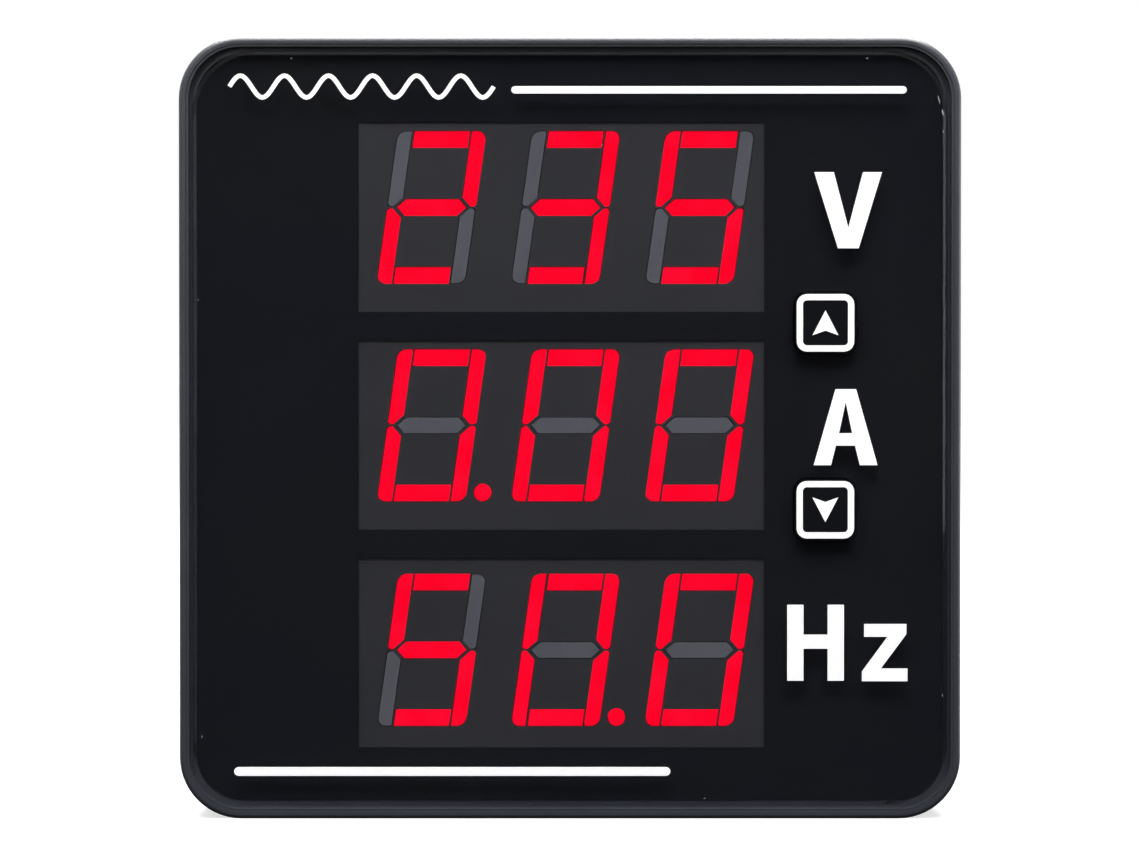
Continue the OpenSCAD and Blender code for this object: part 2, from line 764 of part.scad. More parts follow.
module terminal_screw(k) {
    color("#cfd1d3") standing() translate([way_x(k), block_y, 0]) difference() {
        union() {
            translate([0, 0, head_z - head_t]) cylinder(h = head_t, d = screw_head_d);
            translate([0, 0, head_z - 0.1]) cylinder(h = screw_l + 0.1, d = screw_d);
        }
        slab(screw_head_d + cut, 0.9, head_z - head_t - cut, head_z - head_t + 1.1);
        slab(0.9, 3.6, head_z - head_t - cut, head_z - head_t + 1.1);
    }
}

// --- Main board -----------------------------------------------------------------------------

main_front_z = -14;
main_back_z = cover_z + boss_l + 1.5;
board_top = main_board_y + board_t;
header_y = board_top + 1.4;

// Puts a piece on the main board: x across, y up from the board's top and z to the front
module on_board(x, z) {
    standing() translate([x, board_top, z]) children();
}

// Upright cylinder on the board
module can(d, h) {
    rotate([-90, 0, 0]) cylinder(h = h, d = d);
}

module main_board() {
    color("#1d5b3a") difference() {
        standing() translate([-main_board_w / 2, main_board_y, main_back_z])
            cube([main_board_w, board_t, main_front_z - main_back_z]);
        bobbin_pins(1.1, board_t + cut);
    }
}

module board_header() {
    color("#c9c9c4") standing() {
        for (i = [0 : header_pins - 1]) translate([header_x + i * pin_pitch, header_y, 0])
            slab(0.64, 0.64, main_front_z - 4, board_z - 0.1);
        translate([header_x - pin_pitch / 2, board_top, main_front_z - 4])
            cube([header_pins * pin_pitch, 2.6, 2.5]);
    }
}

// Places on the main board, from its front edge, its side edges and the terminals' tails
varistor_t = 4;
varistor_z = main_front_z - 2 - varistor_t / 2;
bridge_z = main_front_z - 2.1;
bridge_x = header_x + (header_pins - 0.5) * pin_pitch + 4.55;
core_x = (core_w - main_board_w) / 2 + 1;
core_z = (tail_z + varistor_z - varistor_t / 2 - 0.4) / 2;
current_w = 18;
current_h = 20;
current_t = 11;
wire_l = 19;
current_x = (main_board_w - current_w) / 2 - 1.5;
current_z = tail_z + wire_l / 2 + 0.6;
regulator_w = 10;
regulator_x = core_x + core_w / 2 + 3;
regulator_z = current_z + (current_t + regulator_w) / 2 + 0.5;
small_cap_d = cap_d * 0.8;
small_cap_x = body_in / 2 - rail_l - 0.1 - small_cap_d / 2;
cap_x = small_cap_x - (cap_d + small_cap_d) / 2 - 0.2;
cap_z = (current_z + wire_l / 2 + main_front_z) / 2;

leg_w = core_w * 0.27;
yoke = core_w * 0.135;
core_up = 2;
bobbin_t = 0.8;
core_open = core_h - 2 * yoke;
side_window = (core_w - leg_w - 2 * yoke) / 2;

module transformer_core() {
    color("#8d9096") on_board(core_x, core_z) translate([0, core_up + core_h / 2, -core_t / 2])
        linear_extrude(core_t) difference() {
            square([core_w, core_h], center = true);
            for (side = [-1, 1]) translate([side * (leg_w + side_window) / 2, 0])
                square([side_window, core_open], center = true);
        }
}

tube_w = leg_w + 2 * bobbin_t + 0.1;
tube_d = core_t + 2 * bobbin_t + 0.1;
bobbin_l = tube_d + 2 * (side_window - bobbin_t) - 0.2;
foot_w = 2;

// Solder pins of the bobbin, reaching down by a depth below the board's top
module bobbin_pins(d, depth) {
    on_board(core_x, core_z)
        for (side = [-1, 1], i = [-1.5 : 1.5])
            translate([i * 4.5, -depth, side * (bobbin_l - foot_w) / 2]) can(d, depth + core_up + yoke + 0.6);
}

module transformer_bobbin() {
    wide = core_w - 2 * yoke - 0.2;
    high = core_open - 0.1;
    color("#e4e0d2") on_board(core_x, core_z) translate([0, core_up + core_h / 2, 0])
        rotate([90, 0, 0]) difference() {
            union() {
                slab(tube_w, tube_d, -high / 2, high / 2);
                for (z = [-high / 2, high / 2 - bobbin_t]) slab(wide, bobbin_l, z, z + bobbin_t);
                for (side = [-1, 1]) translate([0, side * (bobbin_l - foot_w) / 2, 0])
                    slab(wide, foot_w, high / 2 - bobbin_t, high / 2 + yoke);
            }
            slab(leg_w + 0.1, core_t + 0.1, -core_h, core_h);
        }
    color("#c9c9c4") bobbin_pins(0.8, board_t + 0.8);
}

module transformer_winding() {
    wide = core_w - 2 * yoke - 0.8;
    high = core_open - 0.2 - 2 * bobbin_t;
    color("#c8a227") on_board(core_x, core_z) translate([0, core_up + core_h / 2, 0])
        rotate([90, 0, 0]) difference() {
            rounded_slab(wide, bobbin_l - 1, 2, -high / 2, high / 2);
            slab(tube_w, tube_d, -core_h, core_h);
        }
}

module current_transformer() {
    hole_h = current_h * 0.55;
    color("#2a4f8f") on_board(current_x, current_z) difference() {
        union() {
            translate([-current_w / 2, 0, -current_t / 2]) cube([current_w, current_h, current_t]);
            translate([0, hole_h, 0]) cylinder(h = current_t + 2, d = current_w / 2, center = true);
        }
        translate([0, hole_h, 0]) cylinder(h = current_t + 2 * cut + 2, d = 5, center = true);
    }
    color("#b87333") on_board(current_x, current_z) {
        translate([0, hole_h, 0]) cylinder(h = wire_l, d = 4.9, center = true);
        for (side = [-1, 1]) translate([0, 0, side * (wire_l / 2 - 2.1)]) can(3.4, hole_h);
    }
}

module filter_capacitors() {
    color("#2b3f77") {
        on_board(cap_x, cap_z) can(cap_d, cap_h);
        on_board(small_cap_x, cap_z) can(small_cap_d, cap_h * 0.75);
    }
}

module bridge_rectifier() {
    color("#222326") on_board(bridge_x, bridge_z) translate([-4, 0.5, -1.6]) cube([8, 6, 3.2]);
    color("#c9c9c4") on_board(bridge_x, bridge_z)
        for (i = [-1.5 : 1.5]) translate([i * 2, 0, 0]) can(0.7, 0.8);
}

module voltage_regulator() {
    color("#222326") on_board(regulator_x, regulator_z)
        translate([0, 4, -regulator_w / 2]) cube([4.4, 9, regulator_w]);
    color("#b7babd") on_board(regulator_x, regulator_z) {
        translate([0, 12.5, -regulator_w / 2]) cube([1.2, 6.5, regulator_w]);
        for (i = [-1, 0, 1]) translate([2.2, 0, i * 2.54]) can(0.8, 4.4);
    }
}

module varistor() {
    d = 10;
    up = 2;
    color("#2f5fa8") on_board((d - main_board_w) / 2, varistor_z)
        translate([0, up + d / 2, 0]) cylinder(h = varistor_t, d = d, center = true);
    color("#c9c9c4") on_board((d - main_board_w) / 2, varistor_z)
        for (side = [-1, 1]) translate([side * d / 4, 0, side]) can(0.7, up + 2);
}

front_bezel();
front_lens();
window_mask();
key(key_places[0]);  // up_key
key(key_places[1]);  // down_key
plunger(key_places[0]);  // up_plunger
plunger(key_places[1]);  // down_plunger
switch(key_places[0]);  // up_switch
switch(key_places[1]);  // down_switch
display(0);  // top_display
display(1);  // middle_display
display(2);  // bottom_display
lit_segments(0);  // top_lit_segments
lit_segments(1);  // middle_lit_segments
lit_segments(2);  // bottom_lit_segments
dark_segments(0);  // top_dark_segments
dark_segments(1);  // middle_dark_segments
dark_segments(2);  // bottom_dark_segments
display_pins();
display_board();
display_board_screws();
display_chips();
housing();
rear_cover();
rear_cover_screws();
clip(180);  // left_clip
clip(0);  // right_clip
terminal_block();
terminal_contacts();
terminal_clamp(1);  // terminal_clamp_1
terminal_clamp(2);  // terminal_clamp_2
terminal_clamp(3);  // terminal_clamp_3
terminal_clamp(4);  // terminal_clamp_4
terminal_clamp(5);  // terminal_clamp_5
terminal_clamp(6);  // terminal_clamp_6
terminal_screw(1);  // terminal_screw_1
terminal_screw(2);  // terminal_screw_2
terminal_screw(3);  // terminal_screw_3
terminal_screw(4);  // terminal_screw_4
terminal_screw(5);  // terminal_screw_5
terminal_screw(6);  // terminal_screw_6
main_board();
board_header();
transformer_core();
transformer_bobbin();
transformer_winding();
current_transformer();
filter_capacitors();
bridge_rectifier();
voltage_regulator();
varistor();
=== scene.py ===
import math

import bpy
from mathutils import Matrix, Vector


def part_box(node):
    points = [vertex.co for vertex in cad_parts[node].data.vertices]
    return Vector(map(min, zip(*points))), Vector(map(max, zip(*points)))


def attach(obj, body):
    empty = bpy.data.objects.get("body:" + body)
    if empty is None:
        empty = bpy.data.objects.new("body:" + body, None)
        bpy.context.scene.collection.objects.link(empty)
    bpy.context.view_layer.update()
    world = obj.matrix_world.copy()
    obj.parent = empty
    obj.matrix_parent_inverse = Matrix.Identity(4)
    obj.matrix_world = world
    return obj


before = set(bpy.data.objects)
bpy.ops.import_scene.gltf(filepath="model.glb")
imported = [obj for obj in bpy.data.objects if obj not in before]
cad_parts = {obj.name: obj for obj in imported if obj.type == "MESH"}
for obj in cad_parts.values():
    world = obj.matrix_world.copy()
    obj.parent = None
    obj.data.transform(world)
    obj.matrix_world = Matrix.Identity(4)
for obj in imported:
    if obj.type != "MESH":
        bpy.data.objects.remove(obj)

scene = bpy.context.scene
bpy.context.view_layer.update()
MM = 0.001

# ---------------------------------------------------------------------------------------------
# Studio. A pale table with a black card in front of the meter, which keeps its glossy face dark,
# a white backdrop, and soft lamps: overhead, above and beside the front, behind, and one strip.

FACE_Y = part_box("front_lens")[0][1]
TABLE_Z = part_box("front_bezel")[0][2]


def linear(hex_colour):
    """An sRGB hex colour as the linear colour that a shader takes."""
    parts = [int(hex_colour[i:i + 2], 16) / 255 for i in (1, 3, 5)]
    return [c / 12.92 if c <= 0.04045 else ((c + 0.055) / 1.055) ** 2.4 for c in parts] + [1.0]


def add(tree, kind, inputs=None, stops=(), **settings):
    """Adds a node with its settings, its values, what links into it and its colour stops."""
    made = tree.nodes.new(kind)
    for name, value in settings.items():
        setattr(made, name, value)
    if stops:
        for element, (position, hex_colour) in zip(made.color_ramp.elements, stops):
            element.position = position
            element.color = linear(hex_colour)
    for name, value in (inputs or {}).items():
        if isinstance(value, bpy.types.NodeSocket):
            tree.links.new(value, made.inputs[name])
        else:
            made.inputs[name].default_value = value
    return made


def material(name):
    """An empty node material."""
    made = bpy.data.materials.new(name)
    made.use_nodes = True
    made.node_tree.nodes.clear()
    return made


def lamp(name, place, aim, size, power):
    """A white softbox at a place, aimed at a point, with its width and height in metres."""
    light = bpy.data.lights.new(name, "AREA")
    light.shape = "RECTANGLE"
    light.size, light.size_y = size
    light.energy = power
    holder = bpy.data.objects.new(name, light)
    scene.collection.objects.link(holder)
    holder.location = place
    holder.rotation_euler = (Vector(aim) - Vector(place)).to_track_quat("-Z", "Y").to_euler()


lamp("overhead_softbox", (0.0, 0.10, 0.60), (0, 0.02, 0), (0.6, 0.4), 15.0)
lamp("brow_softbox", (0.0, -0.38, 0.55), (0, 0, 0), (0.7, 0.26), 4.2)
lamp("left_softbox", (-0.34, -0.80, 0.22), (0, 0, 0), (0.25, 0.35), 0.65)
lamp("right_softbox", (0.34, -0.80, 0.22), (0, 0, 0), (0.25, 0.35), 0.5)
lamp("side_strip", (0.60, -0.02, -0.02), (0, 0, 0), (0.5, 0.25), 1.4)
lamp("rear_softbox", (-0.2, 0.8, 0.45), (0, 0.05, 0), (0.5, 0.5), 1.7)

world = bpy.data.worlds.new("studio_air")
scene.world = world
world.use_nodes = True
air = world.node_tree
air.nodes.clear()
path = add(air, "ShaderNodeLightPath").outputs
toward = add(air, "ShaderNodeTexCoord").outputs["Generated"]
side = add(air, "ShaderNodeSeparateXYZ", {"Vector": toward}).outputs
raised = add(air, "ShaderNodeMath", {0: side["Z"], 1: 0.8, 2: side["Y"]},
             operation="MULTIPLY_ADD")
# Glossy surfaces see the white backdrop behind the meter and the black card in front of it.
brightest = add(air, "ShaderNodeMath", {0: path["Is Glossy Ray"], 1: 0.5, 2: 0.5},
                operation="MULTIPLY_ADD")
behind = add(air, "ShaderNodeMapRange", {
    "Value": raised.outputs[0], "From Min": -0.9, "From Max": 0.4,
    "To Min": 0.05, "To Max": brightest.outputs[0]})
soft = add(air, "ShaderNodeBackground", {
    "Color": linear("#ffffff"), "Strength": behind.outputs["Result"]})
white = add(air, "ShaderNodeBackground", {"Color": linear("#ffffff"), "Strength": 1.0})
direct = add(air, "ShaderNodeMath", {0: path["Is Camera Ray"], 1: path["Is Transmission Ray"]},
             operation="MAXIMUM")
seen = add(air, "ShaderNodeMixShader", {
    0: direct.outputs[0], 1: soft.outputs[0], 2: white.outputs[0]})
add(air, "ShaderNodeOutputWorld", {"Surface": seen.outputs[0]})


def table():
    """A pale table that looks white and still takes a soft shadow."""
    made = material("pale_table")
    tree = made.node_tree
    rays = add(tree, "ShaderNodeLightPath").outputs
    where = add(tree, "ShaderNodeTexCoord").outputs["Object"]
    across = add(tree, "ShaderNodeSeparateXYZ", {"Vector": where})
    # The card ends in a soft edge, from the panel's plane to 3 cm behind it.
    card = add(tree, "ShaderNodeMapRange", {
        "Value": across.outputs["Y"], "From Min": 0.0, "From Max": 0.03})
    shade = add(tree, "ShaderNodeValToRGB", {"Fac": card.outputs["Result"]},
                stops=[(0.0, "#1c1c1c"), (1.0, "#f4f4f4")])
    board = add(tree, "ShaderNodeBsdfDiffuse", {"Color": shade.outputs["Color"]})
    # The table pales to pure white between 12 and 50 cm from the meter.
    reach = add(tree, "ShaderNodeVectorMath", {0: where}, operation="LENGTH")
    far_off = add(tree, "ShaderNodeMapRange", {
        "Value": reach.outputs["Value"], "From Min": 0.12, "From Max": 0.5,
        "To Min": 0.66, "To Max": 1.0})
    glow = add(tree, "ShaderNodeEmission", {
        "Color": linear("#ffffff"), "Strength": far_off.outputs["Result"]})
    half = add(tree, "ShaderNodeBsdfDiffuse", {"Color": linear("#b4b4b4")})
    pale = add(tree, "ShaderNodeAddShader", {0: half.outputs[0], 1: glow.outputs[0]})
    direct = add(tree, "ShaderNodeMath", {0: rays["Is Camera Ray"], 1: rays["Is Transmission Ray"]},
                 operation="MAXIMUM")
    mirrored = add(tree, "ShaderNodeMath", {0: rays["Is Glossy Ray"], 1: card.outputs["Result"]},
                   operation="MULTIPLY")
    shown = add(tree, "ShaderNodeMath", {0: direct.outputs[0], 1: mirrored.outputs[0]},
                operation="MAXIMUM")
    both = add(tree, "ShaderNodeMixShader", {
        0: shown.outputs[0], 1: board.outputs[0], 2: pale.outputs[0]})
    add(tree, "ShaderNodeOutputMaterial", {"Surface": both.outputs[0]})
    mesh = bpy.data.meshes.new("table")
    near, far, side = -0.6, 3.0, 3.0
    corners = [(x, y, TABLE_Z) for x, y in ((-side, near), (side, near), (side, far), (-side, far))]
    mesh.from_pydata(corners, [], [(0, 1, 2, 3)])
    mesh.materials.append(made)
    floor = bpy.data.objects.new("table", mesh)
    scene.collection.objects.link(floor)


table()

# The camera looks at the face nearly straight on, from a little above its middle.
LENS_MM = 96.1
DISTANCE = 0.28
RISE = math.radians(0.7)
AIM_UP = 0.07 * MM
camera = bpy.data.objects.new("camera", bpy.data.cameras.new("camera"))
scene.collection.objects.link(camera)
camera.data.lens = LENS_MM
camera.data.sensor_width = 36
camera.data.clip_start = 0.01
target = Vector((0, FACE_Y, AIM_UP))
camera.location = target + DISTANCE * Vector((0, -math.cos(RISE), math.sin(RISE)))
camera.rotation_euler = (target - camera.location).to_track_quat("-Z", "Y").to_euler()
scene.camera = camera
scene.view_settings.view_transform = "Standard"

# ---------------------------------------------------------------------------------------------
# Bezel. A square frame moulded in dark blue-grey ABS. Its front edge is rounded, the lens
# drops into its pocket, and snap arms at the back hold it to the housing.

CORNER_R = 5.7 * MM      # of the front's four corners
EDGE_BAND = 0.5 * MM     # how far in the edge is drawn as rounded
FLOW_MM = 9              # size of the patches of colour in moulded plastic


def dress(made, *nodes):
    """Gives CAD nodes one material."""
    for name in nodes:
        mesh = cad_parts[name].data
        mesh.materials.clear()
        mesh.materials.append(made)


# The grain of a spark-eroded mould is about 0.1 mm across, and is drawn coarser so that it shows.
def grain(tree, size_mm, depth_mm):
    """A bump of grains of one size, laid out in metres on the piece itself."""
    where = add(tree, "ShaderNodeTexCoord").outputs["Object"]
    noise = add(tree, "ShaderNodeTexNoise", {
        "Vector": where, "Scale": 1 / (size_mm * MM), "Detail": 2.0})
    return add(tree, "ShaderNodeBump", {
        "Height": noise.outputs["Fac"], "Distance": depth_mm * MM, "Strength": 1.0})


def patches(tree, size_mm, *stops, detail=3.0):
    """A colour that drifts over patches of one size."""
    where = add(tree, "ShaderNodeTexCoord").outputs["Object"]
    noise = add(tree, "ShaderNodeTexNoise", {
        "Vector": where, "Scale": 1 / (size_mm * MM), "Detail": detail})
    return add(tree, "ShaderNodeValToRGB", {"Fac": noise.outputs["Fac"]},
               stops=stops).outputs["Color"]


def moulded(name, dark, light, roughness, grain_mm=0.25, depth_mm=0.004, ior=1.53, edge=None):
    """Moulded plastic: a colour that drifts a little as the melt flowed, and a fine grain."""
    made = material(name)
    tree = made.node_tree
    colour = patches(tree, FLOW_MM, (0.35, dark), (0.65, light))
    bump = grain(tree, grain_mm, depth_mm)
    if edge:
        tree.links.new(edge(tree), bump.inputs["Normal"])
    skin = add(tree, "ShaderNodeBsdfPrincipled", {
        "Base Color": colour, "Roughness": roughness, "IOR": ior,
        "Normal": bump.outputs["Normal"]})
    add(tree, "ShaderNodeOutputMaterial", {"Surface": skin.outputs[0]})
    return made


def soft_edge(tree):
    """A normal that draws the rounding of the bezel's outer front edge out over EDGE_BAND."""
    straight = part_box("front_bezel")[1][0] - CORNER_R
    where = add(tree, "ShaderNodeTexCoord").outputs["Object"]
    flat = add(tree, "ShaderNodeVectorMath", {0: where, 1: (1.0, 0.0, 1.0)}, operation="MULTIPLY")
    folded = add(tree, "ShaderNodeVectorMath", {0: flat.outputs[0]}, operation="ABSOLUTE")
    past = add(tree, "ShaderNodeVectorMath", {0: folded.outputs[0], 1: (straight, 0.0, straight)},
               operation="SUBTRACT")
    beyond = add(tree, "ShaderNodeVectorMath", {0: past.outputs[0], 1: (0.0, 0.0, 0.0)},
                 operation="MAXIMUM")
    reach = add(tree, "ShaderNodeVectorMath", {0: beyond.outputs[0]}, operation="LENGTH")
    radius = add(tree, "ShaderNodeMapRange", {
        "Value": reach.outputs["Value"], "From Min": CORNER_R - EDGE_BAND,
        "From Max": CORNER_R - 0.9 * EDGE_BAND, "To Min": 0.0, "To Max": 1.5 * EDGE_BAND})
    edge = add(tree, "ShaderNodeBevel", {"Radius": radius.outputs["Result"]}, samples=8)
    return edge.outputs["Normal"]


# ABS from a spark-eroded mould: a satin sheen that catches the light along the rounded edge.
dress(moulded("abs_bezel", "#31343c", "#363941", 0.34, ior=1.7, edge=soft_edge), "front_bezel")

# ---------------------------------------------------------------------------------------------
# Lens. A smoked PMMA sheet with polished faces and a bevelled edge. Behind it lies a mask film
# printed matt black, with three clear windows, so the face looks black and the windows grey.


def smoked_acrylic():
    """Polished PMMA: it dims what lies behind, and mirrors a little from outside only."""
    made = material("pmma_smoked")
    tree = made.node_tree
    clear = add(tree, "ShaderNodeBsdfTransparent", {"Color": linear("#efeff1")})
    shine = add(tree, "ShaderNodeBsdfGlossy", {"Color": linear("#ffffff"), "Roughness": 0.04})
    mirror = add(tree, "ShaderNodeFresnel", {"IOR": 1.22})
    inside = add(tree, "ShaderNodeNewGeometry").outputs["Backfacing"]
    outside = add(tree, "ShaderNodeMath", {0: 1.0, 1: inside}, operation="SUBTRACT")
    gloss = add(tree, "ShaderNodeMath", {0: mirror.outputs[0], 1: outside.outputs[0]},
                operation="MULTIPLY")
    both = add(tree, "ShaderNodeMixShader", {
        0: gloss.outputs[0], 1: clear.outputs[0], 2: shine.outputs[0]})
    add(tree, "ShaderNodeOutputMaterial", {"Surface": both.outputs[0]})
    return made


def black_ink():
    """Screen-printed ink: matt and nearly even, a deep black through the lens."""
    made = material("ink_black")
    tree = made.node_tree
    colour = patches(tree, 25, (0.3, "#25272d"), (0.7, "#292a2c"))
    skin = add(tree, "ShaderNodeBsdfPrincipled", {
        "Base Color": colour, "Roughness": 0.6, "IOR": 1.1,
        "Normal": grain(tree, 0.2, 0.002).outputs["Normal"]})
    add(tree, "ShaderNodeOutputMaterial", {"Surface": skin.outputs[0]})
    return made


dress(smoked_acrylic(), "front_lens")
dress(black_ink(), "window_mask")

# ---------------------------------------------------------------------------------------------
# Print on the lens. White screen ink, about 0.02 mm thick: a rule at the top and one at the
# bottom, a sine trace for alternating current, and the unit signs beside the rows.

INK_T = 0.02     # in millimetres, as are all the outlines


def white_ink_with_painted_glow():
    """White screen ink, dense, with a faint mottle drawn coarser than the mesh that left it, and a
    faint painted glow that lifts it to full white.
    """
    made = material("ink_white_painted_glow")
    tree = made.node_tree
    colour = patches(tree, 0.6, (0.3, "#f4f4f4"), (0.7, "#ffffff"))
    # Painted glow: the white ink gives off a faint white light of its own.
    skin = add(tree, "ShaderNodeBsdfPrincipled", {
        "Base Color": colour, "Roughness": 0.45, "IOR": 1.5,
        "Emission Color": linear("#ffffff"), "Emission Strength": 0.3})
    add(tree, "ShaderNodeOutputMaterial", {"Surface": skin.outputs[0]})
    return made


ink = white_ink_with_painted_glow()


def printed(name, outlines, body, paint=ink):
    """A flat print on the lens's face, of closed outlines in millimetres across and up."""
    curve = bpy.data.curves.new(name, "CURVE")
    curve.dimensions = "2D"
    curve.fill_mode = "BOTH"
    curve.extrude = INK_T * MM / 2
    for outline in outlines:
        spline = curve.splines.new("POLY")
        spline.points.add(len(outline) - 1)
        spline.use_cyclic_u = True
        for point, (x, z) in zip(spline.points, outline):
            point.co = (x * MM, z * MM, 0, 1)
    holder = bpy.data.objects.new(name + "_outline", curve)
    scene.collection.objects.link(holder)
    mesh = bpy.data.meshes.new_from_object(holder)
    bpy.data.objects.remove(holder)
    mesh.transform(Matrix.Translation((0, FACE_Y, 0)) @ Matrix.Rotation(math.pi / 2, 4, "X"))
    mesh.materials.clear()
    mesh.materials.append(paint)
    piece = bpy.data.objects.new(name, mesh)
    scene.collection.objects.link(piece)
    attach(piece, body)
    return piece


def shifted(outline, x, z):
    """An outline moved across and up."""
    return [(x + px, z + pz) for px, pz in outline]


def bar(x0, x1, z, thick, steps=6):
    """A rule with round ends."""
    r = thick / 2
    right = [(x1 - r + r * math.sin(a), z + r * math.cos(a)) for a in
             [math.pi * i / steps for i in range(steps + 1)]]
    left = [(x0 + r - r * math.sin(a), z - r * math.cos(a)) for a in
            [math.pi * i / steps for i in range(steps + 1)]]
    return right + left


def sine_trace(x0, x1, z, height, cycles, stroke, steps=20):
    """A sine wave drawn with one stroke."""
    count = cycles * steps
    wide, tall = x1 - x0, height / 2
    upper, lower = [], []
    for i in range(count + 1):
        turn = 2 * math.pi * cycles * i / count
        slope = tall * 2 * math.pi * cycles / wide * math.cos(turn)
        n = stroke / 2 / math.hypot(1, slope)
        x, y = x0 + wide * i / count, z + tall * math.sin(turn)
        upper.append((x - slope * n, y + n))
        lower.append((x + slope * n, y - n))
    return upper + lower[::-1]


# Letters 7 mm high, from the foot of each one's left side.
LETTER_V = [(-0.3, 7), (1.5, 7), (2.84, 1.9), (4.18, 7), (5.93, 7), (3.8, 0), (1.88, 0)]
LETTER_A = [(0, 0), (2.0, 7), (3.9, 7), (5.88, 0), (4.25, 0), (3.8, 1.8), (2.05, 1.8), (1.6, 0)]
EYE_OF_A = [(2.34, 2.95), (2.94, 5.8), (3.54, 2.95)]
LETTER_H = [(0, 0), (0, 7), (1.5, 7), (1.5, 4.25), (3.72, 4.25), (3.72, 7),
            (5.22, 7), (5.22, 0), (3.72, 0), (3.72, 2.95), (1.5, 2.95), (1.5, 0)]
LETTER_Z = [(0, 0), (0, 0.9), (2.35, 4.1), (0.2, 4.1), (0.2, 5.28), (4.1, 5.28),
            (4.1, 4.35), (1.75, 1.18), (4.2, 1.18), (4.2, 0)]

printed("print_top_rule", [bar(-5.4, 30.95, 31.1, 0.68)], "case")
printed("print_bottom_rule", [bar(-30.95, 9.25, -31.62, 0.82)], "case")
printed("print_sine_sign", [sine_trace(-31.3, -7.0, 31.4, 2.0, 6, 0.42)], "case")
printed("print_volt_sign", [shifted(LETTER_V, 22.75, 16.55)], "case")
printed("print_ampere_sign",
        [shifted(LETTER_A, 22.42, -3.4), shifted(EYE_OF_A, 22.42, -3.4)], "case")
printed("print_hertz_sign",
        [shifted(LETTER_H, 20.0, -23.25), shifted(LETTER_Z, 26.88, -23.3)], "case")

# ---------------------------------------------------------------------------------------------
# Dust. Pale lint and flakes of moulding flash that catch on the edge of the lens, each a
# sliver no thicker than the ink.


def sliver(x, z, long, wide, lean):
    """A thin flake with pointed ends, leaning from upright by some degrees."""
    ends = [(0, -long / 2), (wide / 2, -long / 6), (wide / 3, long / 4), (0, long / 2),
            (-wide / 2, long / 8)]
    c, s = math.cos(math.radians(lean)), math.sin(math.radians(lean))
    return [(x + px * c + pz * s, z - px * s + pz * c) for px, pz in ends]


def lint():
    """Dull, pale fluff, just light enough to stand out on the black edge."""
    made = material("lint_grey")
    tree = made.node_tree
    colour = patches(tree, 0.3, (0.3, "#8f9294"), (0.7, "#c4c6c6"))
    skin = add(tree, "ShaderNodeBsdfPrincipled", {"Base Color": colour, "Roughness": 0.9})
    add(tree, "ShaderNodeOutputMaterial", {"Surface": skin.outputs[0]})
    return made


# Place across and up, length, width and lean of each flake.
DUST = [(33.9, 30.2, 0.9, 0.12, -14), (34.25, 29.0, 0.7, 0.14, -8), (34.3, 27.3, 0.35, 0.1, 4),
        (-25.6, 34.0, 0.22, 0.16, 60), (27.3, 34.0, 0.24, 0.18, 80), (-33.9, -28.4, 0.3, 0.12, 10),
        (34.3, -24.6, 0.3, 0.1, -5), (12.4, -34.1, 0.25, 0.12, 85), (-34.2, 11.8, 0.2, 0.1, 3)]
printed("dust_on_lens_edge", [sliver(*flake) for flake in DUST], "case", paint=lint())

# ---------------------------------------------------------------------------------------------
# Keys. Two black PMMA caps that stand flush in the lens, each with a printed white frame and
# an arrow. They are polished, so they shine as the lens does.

KEY_FRAME, KEY_STROKE, KEY_CORNER = 5.3, 0.58, 0.95
ARROW = [(-1.2, -1.15), (0, -0.72), (1.2, -1.15), (0, 1.15)]


def key_black():
    """Polished black PMMA: darker than the mask beside it, with a clear shine."""
    made = material("pmma_black")
    tree = made.node_tree
    colour = patches(tree, 6, (0.3, "#141519"), (0.7, "#17181b"))
    skin = add(tree, "ShaderNodeBsdfPrincipled", {
        "Base Color": colour, "Roughness": 0.12, "IOR": 1.3})
    add(tree, "ShaderNodeOutputMaterial", {"Surface": skin.outputs[0]})
    return made


dress(key_black(), "up_key", "down_key")


def round_square(x, z, wide, r, steps=6):
    """A square with rounded corners, about its middle."""
    points = []
    straight = wide / 2 - r
    for quarter, (sx, sz) in enumerate([(1, 1), (-1, 1), (-1, -1), (1, -1)]):
        for i in range(steps + 1):
            a = math.pi / 2 * (quarter + i / steps)
            points.append((x + sx * straight + r * math.cos(a),
                           z + sz * straight + r * math.sin(a)))
    return points


for body, up in (("up_key", 1), ("down_key", -1)):
    low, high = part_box(body)
    x, z = (low[0] + high[0]) / 2 / MM, (low[2] + high[2]) / 2 / MM
    outer = round_square(x, z, KEY_FRAME, KEY_CORNER)
    inner = round_square(x, z, KEY_FRAME - 2 * KEY_STROKE, KEY_CORNER - KEY_STROKE)
    printed(body + "_print_frame", [outer, inner], body)
    printed(body + "_print_arrow", [[(x + px, z + up * pz) for px, pz in ARROW]], body)

# ---------------------------------------------------------------------------------------------
# Displays. Each is a moulded case with a grey face, and light pipes of milky epoxy cast into
# it. The lit ones glow an even red, and the dark ones show grey.


def glowing_epoxy():
    """Milky epoxy lit from behind by red diodes: a bright, even glow with no hot spot."""
    made = material("epoxy_lit_red")
    tree = made.node_tree
    colour = patches(tree, 2.5, (0.3, "#ff0026"), (0.7, "#ff082e"), detail=1.0)
    skin = add(tree, "ShaderNodeBsdfPrincipled", {
        "Base Color": linear("#200004"), "Roughness": 0.5, "IOR": 1.1,
        "Emission Color": colour, "Emission Strength": 1.33})
    add(tree, "ShaderNodeOutputMaterial", {"Surface": skin.outputs[0]})
    return made


# Painted PPE plastic: a flat mid-grey, so that the unlit digits hardly show against it.
dress(moulded("ppe_display_face", "#38393c", "#3c3d40", 0.55, 0.3, 0.002),
      "top_display", "middle_display", "bottom_display")
